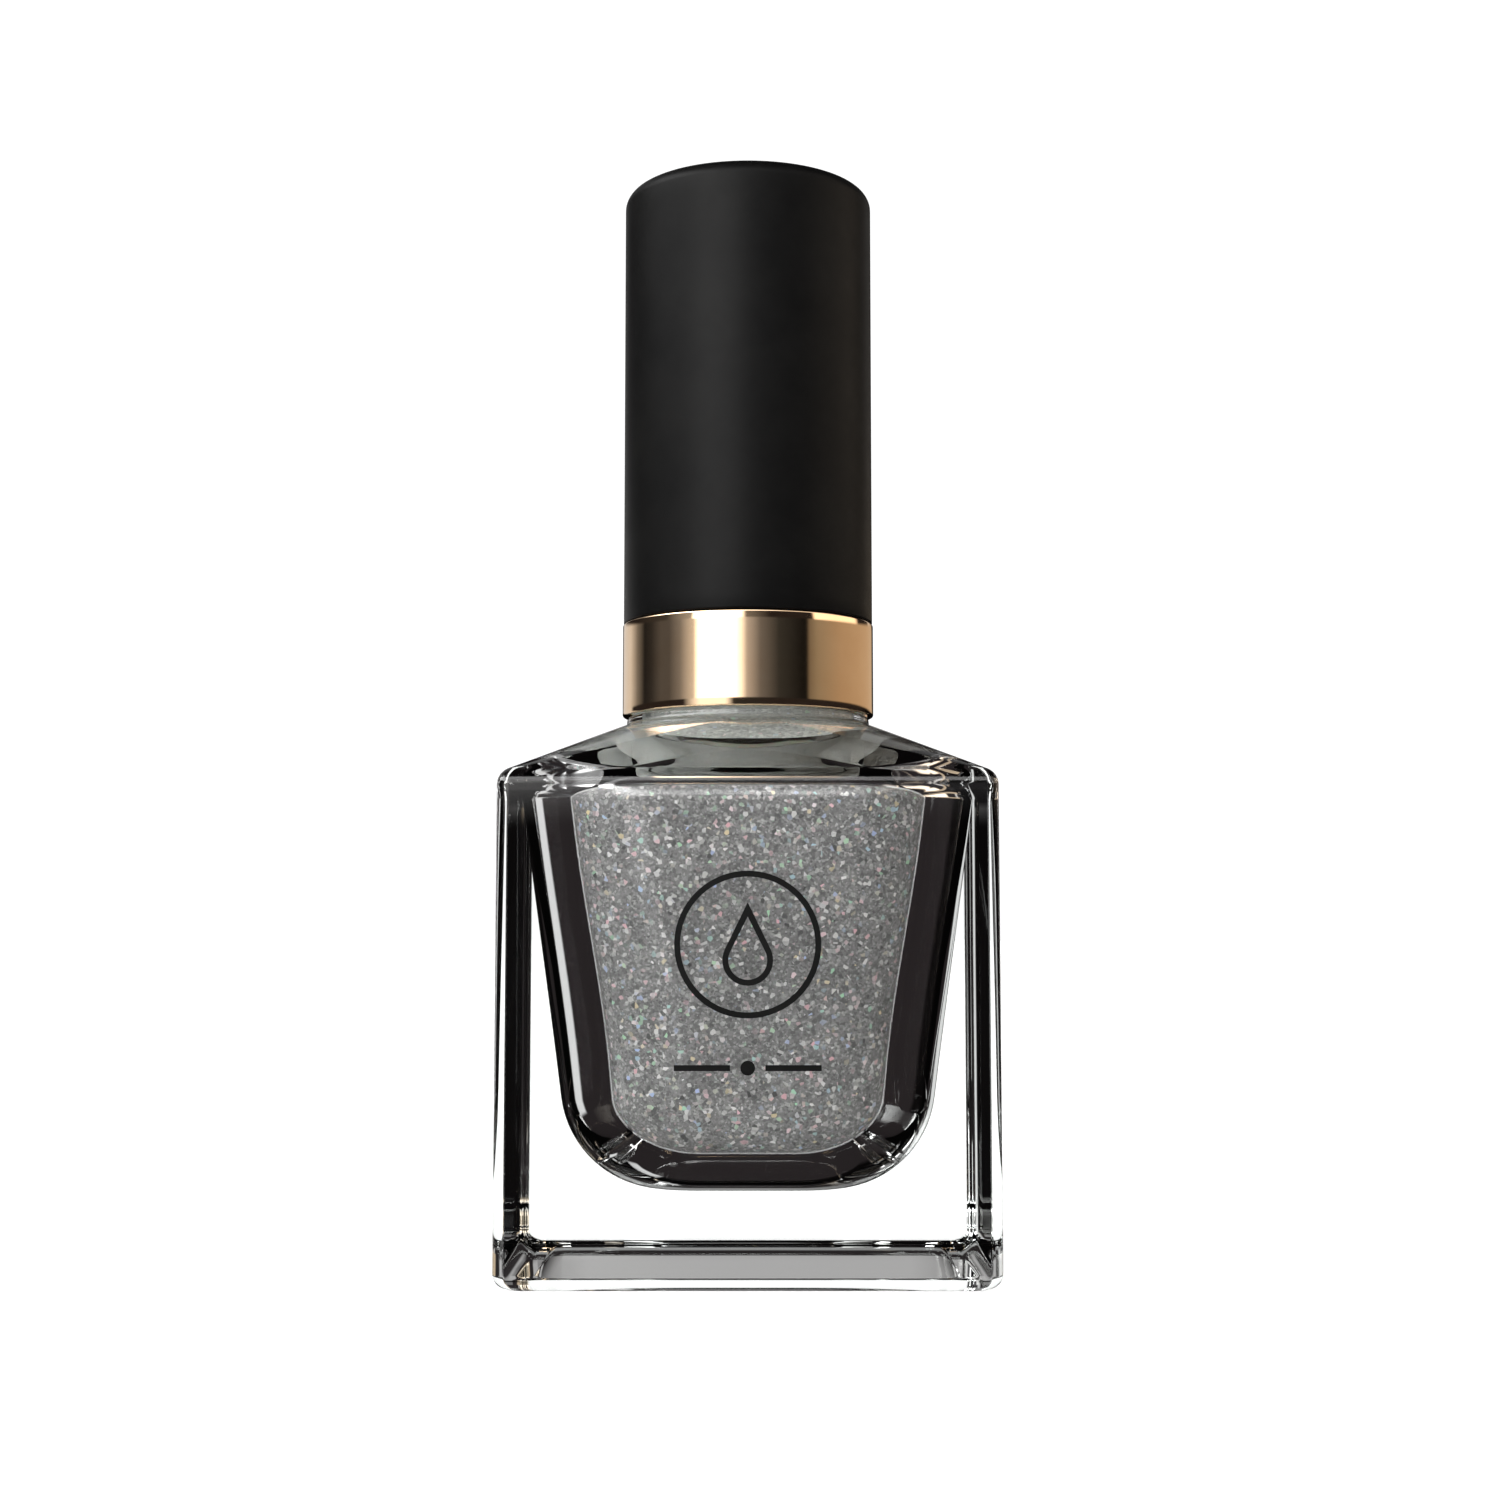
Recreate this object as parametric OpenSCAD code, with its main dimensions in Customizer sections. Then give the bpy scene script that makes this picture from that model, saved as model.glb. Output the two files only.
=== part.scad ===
// Square glass nail polish bottle with a screw cap, collar ring and applicator brush.
// Millimetres, +Z up. The origin is the centre of the bottle's foot and the front faces -Y.

/* [Glass block] */
// Width and depth of the square block
body_w = 29; // [28:0.5:32]
// Height of the straight sides
side_h = 29.9; // [29:0.1:32]
// Rounding of the vertical edges
edge_r = 0.6; // [0.4:0.1:1.2]
// Rounding of the bottom edges
foot_r = 1; // [0.6:0.1:1.2]
// Rounding where the sides meet the shoulder
brow_r = 1.2; // [0.8:0.1:1.2]
// Rise of the sloping shoulder above the straight sides
shoulder_h = 3.4; // [3:0.1:3.6]

/* [Cavity] */
// Thickness of the glass under the lacquer
floor_t = 5; // [4.5:0.5:6]
// Half width of the cavity at its widest level
cavity_top_hw = 13.5; // [13:0.1:13.5]
// Half width of the cavity where its bottom rounding starts
cavity_low_hw = 11.4; // [11:0.1:12]
// Plan rounding of the cavity at its widest level
cavity_corner_r = 9; // [8:0.5:10]
// Rounding between the cavity's walls and its bottom
cavity_bottom_r = 5.5; // [4:0.5:6]

/* [Neck finish] */
// Radius of the glass collar under the cap
collar_r = 7.85; // [7.7:0.05:7.9]
// Radius of the neck between the threads
neck_r = 5.65; // [5.6:0.05:5.7]
// Radius of the bore through the neck
bore_r = 3.7; // [3.5:0.1:3.8]
// Radius of the wider throat under the neck
throat_r = 4.4; // [4.2:0.1:4.5]
// Height of the neck above the collar
finish_h = 11.3; // [11:0.1:11.6]
// Rise of the thread in one turn
thread_pitch = 2.1; // [2:0.1:2.2]

/* [Cap] */
// Outer radius of the black cap
cap_r = 8; // [8:0.05:8.2]
// Height from the collar to the top of the cap
cap_h = 34.2; // [30:0.1:38]
// Rounding of the cap's top edge
crown_r = 1; // [0.6:0.1:1.3]
// Height of the collar ring
ring_h = 5.9; // [4:0.1:7]

/* [Brush] */
// Gap between the tip of the bristles and the cavity's bottom
tip_gap = 2; // [1:0.5:4]
// Free length of the bristles below the stem
bristle_len = 12; // [10:0.5:14]
// Radius of the stem at its thick end
stem_r = 1.9; // [1.6:0.1:2]

/* [Hidden] */

// Fits
gap = 0.05;          // running and stacking clearance
film = 0.1;          // space kept between the lacquer and the glass
over = 0.3;          // how far cutters run past a face
corner_steps = 8;    // facets round each corner of the block
least_edge = 0.15;   // rounding left at the block's corners, where two roundings meet

// Levels
collar_top = side_h + shoulder_h + 0.7;
rim_z = collar_top + finish_h;
cap_foot = collar_top;
cap_top = cap_foot + cap_h;
ring_top = cap_foot + ring_h;
turn_z = side_h - 2;                 // top of the cavity's straight walls
throat_z = side_h + 2.6;             // where the cavity meets the neck bore
cavity_turn_r = 1.5;                 // rounding of the cavity under the shoulder
throat_top = collar_top + 1;         // where the throat starts to narrow to the bore
thread_z = collar_top + 3.6;         // where the neck's thread starts
thread_turns = 2;
fill_z = collar_top + 0.6;           // level of the lacquer
seal_t = 0.7;
seal_z = rim_z + gap;
flange_z = seal_z + seal_t + gap;    // underside of the stem's flange
flange_t = 0.8;
deck_z = flange_z + flange_t;        // underside of the inner cap's top
deck_t = 1.2;
stem_foot = floor_t + tip_gap + bristle_len;

// Cap shells
sleeve_r = 7.2;                      // outside of the inner cap
sleeve_bore = 6.6;
thread_depth = 0.45;
flange_r = 5.4;
foot_flange_r = 7.6;                 // lip at the foot of the inner cap that carries the ring
foot_flange_t = 0.3;
ring_step = 0.6;
cap_wall = 1.4;
crown_t = 1.8;

// Brush and balls
anchor_size = [2, 0.35, 1];
socket_r = 1.1;
socket_h = 3;
anchor_z = stem_foot + socket_h - 0.8;
tuft_hw = 1.9;                       // half width of the flared bristles
tuft_ht = 1.1;                       // half thickness of the flared bristles
well_gap = 0.3;                      // space that the lacquer leaves round the brush
well_r = tuft_hw + well_gap;
ball_r = 2;
ball_x = 6;
ball_z = floor_t + ball_r + 0.02;

$fn = 64;

// Outline of a square of half width hw with its corners rounded to r; a circle when hw = r
function outline(hw, r) = [for (q = [0 : 3], k = [0 : corner_steps])
    let (a = 90 * q + 90 * k / corner_steps, c = 45 + 90 * q)
        [(hw - r) * sign(cos(c)) + r * cos(a), (hw - r) * sign(sin(c)) + r * sin(a)]];

// Closed solid through rounded squares, each given as [half width, corner radius, height], lowest first
module loft(levels) {
    n = 4 * (corner_steps + 1);
    m = len(levels);
    points = [for (l = levels) each [for (p = outline(l[0], l[1])) [p[0], p[1], l[2]]]];
    sides = [for (j = [0 : m - 2], i = [0 : n - 1])
        let (a = n * j + i, b = n * j + (i + 1) % n) each [[a, a + n, b + n], [a, b + n, b]]];
    foot = [for (i = [0 : n - 1]) i];
    lid = [for (i = [n - 1 : -1 : 0]) n * (m - 1) + i];
    polyhedron(points, concat(sides, [foot, lid]), convexity = 4);
}

// Solid with a rounded-square plan. Its half section, the child, is turned about each of the four
// corner centres, c out from the axis both ways, and carried straight between them
module rounded_square(c) {
    for (sx = [-1, 1], sy = [-1, 1])
        translate([sx * c, sy * c, 0]) rotate_extrude() intersection() {
            translate([-c, 0]) children();
            square(cap_top);
        }
    for (turn = [0, 90])
        rotate([0, 0, turn]) translate([0, c, 0]) rotate([90, 0, 0]) linear_extrude(2 * c) {
            children();
            mirror([1, 0]) children();
        }
}

// Half section of the cavity below the neck, shrunk by inset
module cavity_profile(inset = 0) {
    mouth_hw = cavity_top_hw - cavity_corner_r + 0.6;
    polygon([
        [0, floor_t + inset],
        for (a = [0 : 15 : 90])
            [cavity_low_hw - inset - cavity_bottom_r * (1 - sin(a)),
             floor_t + inset + cavity_bottom_r * (1 - cos(a))],
        for (a = [0 : 20 : 80])
            [cavity_top_hw - inset - cavity_turn_r * (1 - cos(a)), turn_z + cavity_turn_r * sin(a) - inset],
        [mouth_hw, throat_z - inset],
        [0, throat_z - inset]]);
}

// Outside of the bottle below the neck: rounded foot, straight sides, rounded brow and sloping shoulder
module outer_block() {
    hw = body_w / 2;
    function eased(pull) = max(edge_r - pull, least_edge);
    slope_start = [hw - brow_r / 2, eased(brow_r / 2), side_h - brow_r * (1 - sin(60))];
    slope_end = [collar_r - 0.6, collar_r - 0.7, side_h + shoulder_h + 0.2];   // inside the neck
    loft(concat(
        [for (a = [0 : 22.5 : 90])
            [hw - foot_r * (1 - sin(a)), eased(foot_r * (1 - sin(a))), foot_r * (1 - cos(a))]],
        [for (a = [0 : 15 : 45])
            [hw - brow_r * (1 - cos(a)), eased(brow_r * (1 - cos(a))), side_h - brow_r * (1 - sin(a))]],
        [for (t = [0 : 0.25 : 1]) (1 - t) * slope_start + t * slope_end]));
}

// Inside of the bottle below the neck, shrunk by inset
module cavity(inset = 0) {
    rounded_square(cavity_top_hw - cavity_corner_r) cavity_profile(inset);
}

// Inside of the neck: a throat that narrows to the bore
module throat() {
    rotate_extrude() polygon([
        [0, throat_z - over], [throat_r, throat_z - over], [throat_r, throat_top],
        [bore_r, throat_top + 1], [bore_r, rim_z + over], [0, rim_z + over]]);
}

// Ridge with a trapezoid section that climbs round a cylinder, thinning to nothing at both ends
module helix_ridge(root_r, crest_r, z0) {
    per_turn = 24;                   // rings of points in one turn
    steps = per_turn * thread_turns;
    fade = 3;                        // rings over which an end thins out
    bury = 0.2;                      // how far the root reaches into the cylinder
    half_root = 0.62;
    half_crest = 0.25;
    inward = crest_r < root_r;
    function share(i) = min(1, (i + 0.25) / fade, (steps - i + 0.25) / fade);
    function ring(i) =
        let (a = 360 * i / per_turn, z = z0 + thread_pitch * i / per_turn,
             r = root_r + (crest_r - root_r) * share(i), back = root_r + (inward ? bury : -bury))
        [for (p = [[back, -half_root], [r, -half_crest], [r, half_crest], [back, half_root]])
            [p[0] * cos(a), p[0] * sin(a), z + p[1]]];
    points = [for (i = [0 : steps]) each ring(i)];
    sides = [for (i = [0 : steps - 1], k = [0 : 3])
        let (a = 4 * i + k, b = 4 * i + (k + 1) % 4) each [[a, b, b + 4], [a, b + 4, a + 4]]];
    last = 4 * steps;
    ends = [[3, 2, 1], [3, 1, 0], [last, last + 1, last + 2], [last, last + 2, last + 3]];
    polyhedron(points, [for (f = concat(sides, ends)) inward ? [f[2], f[1], f[0]] : f], convexity = 8);
}

// Half section of the collar and neck above the shoulder
module neck_profile() {
    blend_r = 0.5;
    lip_r = 0.5;
    bead_r = 0.45;
    brim_r = 0.3;                    // rounding of the collar's edge
    low = side_h + shoulder_h - 1;
    translate([0, low]) square([collar_r - 0.1, collar_top - low - brim_r]);
    translate([0, low]) square([collar_r - 0.1 - brim_r, collar_top - low]);
    translate([collar_r - 0.1 - brim_r, collar_top - brim_r]) circle(brim_r, $fn = 16);
    translate([0, collar_top - blend_r]) square([neck_r, finish_h + blend_r - lip_r]);
    translate([0, rim_z - 1]) square([neck_r - lip_r, 1]);
    translate([neck_r - lip_r, rim_z - lip_r]) circle(lip_r, $fn = 24);
    translate([neck_r, collar_top + 1.4]) circle(bead_r, $fn = 16);
}

// Clear glass block with a tapered cavity and a threaded neck
module glass_bottle() {
    color([0.9, 0.93, 0.92, 0.35]) difference() {
        union() {
            outer_block();
            rotate_extrude($fn = 96) neck_profile();
            helix_ridge(neck_r, neck_r + thread_depth, thread_z);
        }
        cavity();
        throat();
    }
}

// Lacquer up to the fill level, with a well that the brush is drawn out of
module lacquer_fill() {
    color([0.55, 0.55, 0.55]) difference() {
        union() {
            cavity(film);
            translate([0, 0, throat_z - film - over])
                cylinder(h = fill_z - throat_z + film + over, r = throat_r - film);
        }
        translate([0, 0, floor_t + tip_gap - well_gap]) cylinder(h = fill_z, r = well_r);
        for (side = [-1, 1]) translate([side * ball_x, 0, ball_z]) sphere(ball_r + gap);
    }
}

// Steel ball that stirs the lacquer, resting on the glass
module mixing_ball(side) {
    color("silver") translate([side * ball_x, 0, ball_z]) sphere(ball_r);
}

// Drop with a tip at height tip above the centre of its round end
module drop(r, tip) {
    a = asin(r / tip);
    circle(r);
    polygon([[-r * cos(a), r * sin(a)], [0, tip], [r * cos(a), r * sin(a)]]);
}

// Printed mark on the front face: a ring round a drop, over a rule with a bead at its middle
module front_emblem() {
    ink_t = 0.06;
    line_w = 0.34;
    ring_r = 4.2;
    ring_z = 19.6;
    drop_z = 18.7;
    drop_r = 1.45;
    drop_tip = 3.3;
    rule_z = 12.6;
    rule_gap = 1;                    // half of the space round the bead
    bead_r = 0.42;
    color([0.02, 0.02, 0.02]) translate([0, -body_w / 2, 0]) rotate([90, 0, 0]) linear_extrude(ink_t) {
        translate([0, ring_z]) difference() {
            circle(ring_r);
            circle(ring_r - line_w);
        }
        translate([0, drop_z]) difference() {
            drop(drop_r, drop_tip);
            drop(drop_r - line_w, drop_tip - 2.4 * line_w);
        }
        for (side = [0, 1]) mirror([side, 0])
            translate([rule_gap, rule_z - line_w / 2]) square([ring_r - rule_gap, line_w]);
        translate([0, rule_z]) circle(bead_r);
    }
}

// Foam washer between the glass rim and the stem's flange
module seal_liner() {
    color("whitesmoke") translate([0, 0, seal_z]) difference() {
        cylinder(h = seal_t, r = flange_r + 0.1);
        translate([0, 0, -over]) cylinder(h = seal_t + 2 * over, r = stem_r + 0.7);
    }
}

// Metallised ring, trapped between the overcap and the inner cap's foot
module collar_ring() {
    color([0.72, 0.55, 0.36]) translate([0, 0, cap_foot]) difference() {
        cylinder(h = ring_h, r = cap_r + 0.05, $fn = 96);
        translate([0, 0, -over]) cylinder(h = ring_h + 2 * over, r = sleeve_r + gap);
        translate([0, 0, -over]) cylinder(h = ring_step + over, r = foot_flange_r + gap);
    }
}

// Black outer cap, pressed over the inner cap
module overcap() {
    low = ring_top + gap;
    seat_z = deck_z + deck_t;
    hollow_r = cap_r - cap_wall;
    color([0.05, 0.05, 0.05]) difference() {
        rotate_extrude($fn = 96) {
            translate([0, low]) square([cap_r, cap_top - crown_r - low]);
            translate([0, low]) square([cap_r - crown_r, cap_top - low]);
            translate([cap_r - crown_r, cap_top - crown_r]) circle(crown_r);
        }
        translate([0, 0, low - over]) cylinder(h = seat_z - low + over, r = sleeve_r + 0.02);
        translate([0, 0, seat_z - over]) cylinder(h = cap_top - crown_t - seat_z + over, r = hollow_r);
    }
}

// Threaded closure: a sleeve with a top that holds the brush
module inner_cap() {
    low = cap_foot + 0.25;
    color("ivory") difference() {
        union() {
            difference() {
                union() {
                    translate([0, 0, low]) cylinder(h = deck_z + deck_t - low, r = sleeve_r);
                    translate([0, 0, low]) cylinder(h = foot_flange_t, r = foot_flange_r);
                }
                translate([0, 0, low - over]) cylinder(h = deck_z - low + over, r = sleeve_bore);
            }
            helix_ridge(sleeve_bore, sleeve_bore - thread_depth, thread_z - thread_pitch / 2);
        }
        translate([0, 0, deck_z - over]) cylinder(h = deck_t + 2 * over, r = stem_r + gap);
    }
}

// Stem with a sealing flange, a snap head above the inner cap and a socket for the bristles
module brush_stem() {
    foot_r = 1.5;
    head_z = deck_z + deck_t + gap;
    head_h = 1.1;
    flange_top = deck_z - 0.02;
    color("white") difference() {
        rotate_extrude() polygon([
            [0, stem_foot], [foot_r, stem_foot], [stem_r, flange_z - 3], [stem_r, flange_z],
            [flange_r, flange_z], [flange_r, flange_top], [stem_r, flange_top], [stem_r, head_z],
            [stem_r + 0.4, head_z], [stem_r - 0.5, head_z + head_h], [0, head_z + head_h]]);
        translate([0, 0, stem_foot - over]) cylinder(h = socket_h + over, r = socket_r);
    }
}

// Flat wire that pins the folded bristles in the stem's socket
module tuft_anchor() {
    color("silver") translate([0, 0, anchor_z]) cube(anchor_size, center = true);
}

// Bristles as one closed solid: a round root in the socket, flared to a flat, rounded fan
module bristle_tuft() {
    tip_z = floor_t + tip_gap;
    root_r = socket_r - 0.03;
    end_r = 0.9;                     // rounding of the bristles' tips
    color([0.1, 0.1, 0.1]) difference() {
        union() {
            translate([0, 0, stem_foot - 1]) cylinder(h = socket_h + 0.95, r = root_r);
            hull() {
                translate([0, 0, stem_foot - 0.6]) cylinder(h = 0.5, r = root_r, $fn = 32);
                for (side = [-1, 1]) {
                    translate([side * (tuft_hw - tuft_ht), 0, tip_z + 4])
                        cylinder(h = 0.5, r = tuft_ht, $fn = 32);
                    translate([side * (tuft_hw - tuft_ht), 0, tip_z + end_r]) sphere(end_r, $fn = 24);
                }
            }
        }
        translate([0, 0, anchor_z]) cube(anchor_size + [gap, gap, gap], center = true);
    }
}

glass_bottle();
lacquer_fill();
mixing_ball(-1);  // mixing_ball_left
mixing_ball(1);  // mixing_ball_right
front_emblem();
seal_liner();
collar_ring();
overcap();
inner_cap();
brush_stem();
tuft_anchor();
bristle_tuft();
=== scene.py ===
"""Looks of the square glass nail polish bottle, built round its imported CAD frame."""

import math
import random

import bmesh
import bpy
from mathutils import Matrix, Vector


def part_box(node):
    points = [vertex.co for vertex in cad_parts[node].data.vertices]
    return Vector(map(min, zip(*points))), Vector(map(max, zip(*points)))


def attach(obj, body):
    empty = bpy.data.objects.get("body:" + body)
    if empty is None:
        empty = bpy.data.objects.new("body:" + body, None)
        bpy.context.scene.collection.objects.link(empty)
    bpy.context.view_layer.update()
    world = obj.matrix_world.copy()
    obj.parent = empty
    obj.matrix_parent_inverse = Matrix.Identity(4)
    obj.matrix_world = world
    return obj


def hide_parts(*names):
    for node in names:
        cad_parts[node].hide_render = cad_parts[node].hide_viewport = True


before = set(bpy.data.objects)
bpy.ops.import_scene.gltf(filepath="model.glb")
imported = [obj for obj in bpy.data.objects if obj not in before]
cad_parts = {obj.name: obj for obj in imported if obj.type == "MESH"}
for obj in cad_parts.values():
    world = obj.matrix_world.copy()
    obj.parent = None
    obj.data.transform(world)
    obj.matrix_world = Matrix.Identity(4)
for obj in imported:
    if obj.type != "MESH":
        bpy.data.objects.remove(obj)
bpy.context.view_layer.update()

MM = 0.001
GLASS_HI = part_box("glass_bottle")[1]
RING_LO, RING_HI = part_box("collar_ring")
CAP_LO, CAP_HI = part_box("overcap")
LACQUER_LO, LACQUER_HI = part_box("lacquer_fill")

# ---------------------------------------------------------------- levels and radii, from the frame

HALF = GLASS_HI.x                        # half width of the square block
COLLAR_Z = RING_LO.z                     # top of the glass collar, where the ring starts
RIM_Z = GLASS_HI.z                       # top of the neck
SIDE_Z = COLLAR_Z - 4.1 * MM             # top of the straight sides
SLOPE_Z = COLLAR_Z - 0.7 * MM            # top of the sloping shoulder
EDGE_R = 0.8 * MM                        # rounding of the vertical edges
FOOT_R = 1.0 * MM                        # rounding round the foot
BROW_R = 1.1 * MM                        # rounding where the sides turn into the shoulder
BROW_TURN = 60                           # degrees that it turns through
FLAT_MARGIN = 0.4 * MM                   # flat strip that is kept beside a rounding
COLLAR_R = RING_HI.x - 0.3 * MM
COLLAR_FILLET = 0.35 * MM                # between the shoulder and the collar
NECK_R = 5.65 * MM                       # the neck's outside, under its thread
BORE_R = 3.7 * MM                        # the neck's bore

# The base is hollowed a little inside its bearing edge: mm in from the side, and mm up
BASE_PROFILE = ((8, 0.12), (3, 0.12), (2.2, 0.12), (1.9, 0.02), (1.8, 0))

THREAD_PITCH = 2.1 * MM
THREAD_DEPTH = 0.45 * MM
THREAD_HALF = 0.62 * MM                  # half width of the thread at its root
THREAD_FLANK = 0.37 * MM                 # width of each of its flanks
THREAD_FADE = 1 / 8                      # part of a turn over which it rises from nothing
THREAD_Z = COLLAR_Z + 3.6 * MM           # where it starts
THREAD_TURNS = 2

FILM = 0.1 * MM                          # space between the lacquer and the glass
WETTING = 0.06 * MM                      # how far the lacquer reaches into the glass that it wets
CAVITY_FLOOR = LACQUER_LO.z - FILM
CAVITY_TOP_HW = LACQUER_HI.x + FILM      # half width of the cavity at its widest level
CAVITY_LEAN = math.radians(7.3)          # how far its walls lean inwards on the way down
CAVITY_TOP_R = 8.2 * MM                  # plan rounding of the cavity at its widest level
CAVITY_LOW_R = 8.4 * MM                  # and where its bottom rounding starts
CAVITY_BOTTOM_R = 6.2 * MM               # that rounding, from wall to floor
CAVITY_TURN_R = 1.3 * MM                 # rounding where its walls turn into its roof
CAVITY_TURN = 72                         # degrees that they turn through
TURN_Z = SIDE_Z - 1.85 * MM              # where that rounding starts
DOME_Z = SIDE_Z + 1.7 * MM               # where the roof has turned from square to round
DOME_R = 5.6 * MM                        # and its radius there
THROAT_R = 4.4 * MM
THROAT_Z = SIDE_Z + 2.9 * MM             # where the roof has narrowed to the throat
THROAT_TOP = COLLAR_Z + 1.0 * MM         # where the throat narrows to the bore
THROAT_SOFT = 0.2 * MM                   # rounding at its top
FILL_Z = LACQUER_HI.z                    # the lacquer's surface, at the glass

# The lacquer's surface creeps up the glass: mm in from the glass, and mm down
MENISCUS = ((0, 0), (0.12, 0.1), (0.4, 0.22), (1.2, 0.3))


# ---------------------------------------------------------------- meshes

CORNER_STEPS = 20                        # steps round each corner of a square ring
SIDE_STEPS = 4                           # steps along each of its sides
SEGMENTS = 144                           # steps round a turned piece
FLAT_SHARE = 8.0                         # degrees of a round ring that a flat side turns into


def smooth_mesh(name, points, faces):
    """A smooth-shaded mesh object from points and faces, with its faces turned outwards."""
    mesh = bpy.data.meshes.new(name)
    mesh.from_pydata([tuple(p) for p in points], [], faces)
    shape = bmesh.new()
    shape.from_mesh(mesh)
    bmesh.ops.recalc_face_normals(shape, faces=shape.faces)
    shape.to_mesh(mesh)
    shape.free()
    mesh.polygons.foreach_set("use_smooth", [True] * len(mesh.polygons))
    mesh.update()
    obj = bpy.data.objects.new(name, mesh)
    bpy.context.scene.collection.objects.link(obj)
    return obj


def ring_outline(hw, corner_r, roundness=0.0, radius=0.0):
    """Plan points of a rounded square, blended by roundness towards a circle of that radius."""
    out = []
    for quarter in range(4):
        turn = math.radians(90 * quarter)
        for step in range(CORNER_STEPS + SIDE_STEPS):
            if step <= CORNER_STEPS:
                share = step / CORNER_STEPS
                a = math.radians(90 * share)
                x = hw - corner_r + corner_r * math.cos(a)
                y = hw - corner_r + corner_r * math.sin(a)
                b = math.radians(FLAT_SHARE / 2 + (90 - FLAT_SHARE) * share)
            else:
                share = (step - CORNER_STEPS) / SIDE_STEPS
                x = (hw - corner_r) * (1 - 2 * share)
                y = hw
                b = math.radians(90 + FLAT_SHARE * (share - 0.5))
            x += roundness * (radius * math.cos(b) - x)
            y += roundness * (radius * math.sin(b) - y)
            out.append((x * math.cos(turn) - y * math.sin(turn),
                        x * math.sin(turn) + y * math.cos(turn)))
    return out


def loft(name, rings, closed=False):
    """Skin over rings of points. The ends are filled with fans, unless the rings close on themselves."""
    n = len(rings[0])
    points = [p for ring in rings for p in ring]
    faces = []
    for j in range(len(rings) if closed else len(rings) - 1):
        low = j * n
        high = (j + 1) % len(rings) * n
        faces += [(low + i, low + (i + 1) % n, high + (i + 1) % n, high + i) for i in range(n)]
    if not closed:
        for first in (0, (len(rings) - 1) * n):
            hub = len(points)
            points.append(sum((Vector(points[first + i]) for i in range(n)), Vector()) / n)
            faces += [(first + i, first + (i + 1) % n, hub) for i in range(n)]
    return smooth_mesh(name, points, faces)


def turned(name, profile, segments=SEGMENTS):
    """Solid turned round the Z axis from a profile of (radius, height), with a flat disc at either end."""
    angles = [2 * math.pi * i / segments for i in range(segments)]
    return loft(name, [[(r * math.cos(a), r * math.sin(a), z) for a in angles] for r, z in profile])


def turned_hoop(name, section, segments=SEGMENTS):
    """Hoop turned round the Z axis. section(angle) is its closed section of (radius, height)."""
    rings = []
    for i in range(segments):
        a = 2 * math.pi * i / segments
        rings.append([(r * math.cos(a), r * math.sin(a), z) for r, z in section(a)])
    return loft(name, rings, closed=True)


def arc(cx, cy, r, start, end, steps):
    """Points of an arc, in degrees."""
    angles = [math.radians(start + (end - start) * i / steps) for i in range(steps + 1)]
    return [(cx + r * math.cos(a), cy + r * math.sin(a)) for a in angles]


def even_normals(obj):
    """Keeps flat faces flat beside their rounded edges."""
    modifier = obj.modifiers.new("even", "WEIGHTED_NORMAL")
    modifier.weight = 100                # the largest faces count most
    modifier.keep_sharp = True


# ---------------------------------------------------------------- the bottle's section

def square_rings(levels):
    """Rings of rounded squares, each level given as (half width, corner radius, height)."""
    return [[(x, y, z) for x, y in ring_outline(hw, r)] for hw, r, z in levels]


def round_rings(levels):
    """Round rings, each level given as (radius, height)."""
    return [[(x, y, z) for x, y in ring_outline(0, 0, 1, r)] for r, z in levels]


def outer_rings():
    """The outside of the block, from the foot to the top of the straight sides' brow."""
    foot = [(HALF - FOOT_R + x, EDGE_R, FOOT_R + y) for x, y in arc(0, 0, FOOT_R, -90, 0, 10)]
    base = [(HALF - inset * MM, EDGE_R, height * MM) for inset, height in BASE_PROFILE]
    beside = [(HALF, EDGE_R, FOOT_R + FLAT_MARGIN), (HALF, EDGE_R, SIDE_Z - BROW_R - FLAT_MARGIN)]
    brow = [(HALF - BROW_R + x, EDGE_R, SIDE_Z - BROW_R + y)
            for x, y in arc(0, 0, BROW_R, 0, BROW_TURN, 8)]
    return square_rings(base + foot + beside + brow)


def shoulder_rings():
    """The slope from the brow to the collar, turning from square to round."""
    turn = math.radians(BROW_TURN)
    start_hw = HALF - BROW_R * (1 - math.cos(turn))
    start_z = SIDE_Z - BROW_R * (1 - math.sin(turn))
    end_r = COLLAR_R + COLLAR_FILLET
    steps = 12
    rings = []
    for k in range(1, steps + 1):
        t = k / steps
        z = start_z + (SLOPE_Z - start_z) * t
        rings.append([(x, y, z) for x, y in ring_outline(start_hw, EDGE_R, t, end_r)])
    return rings


def thread_height(angle, z, start_z):
    """How far a thread that starts at this level stands out at this angle and height."""
    turns = (z - start_z) / THREAD_PITCH
    near = round(turns - angle / (2 * math.pi)) + angle / (2 * math.pi)
    if not 0 <= near <= THREAD_TURNS:
        return 0.0
    fade = min(1, near / THREAD_FADE, (THREAD_TURNS - near) / THREAD_FADE)
    off = abs(turns - near) * THREAD_PITCH
    share = max(0.0, min(1.0, (THREAD_HALF - off) / THREAD_FLANK))
    return THREAD_DEPTH * fade * share * share * (3 - 2 * share)


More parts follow.
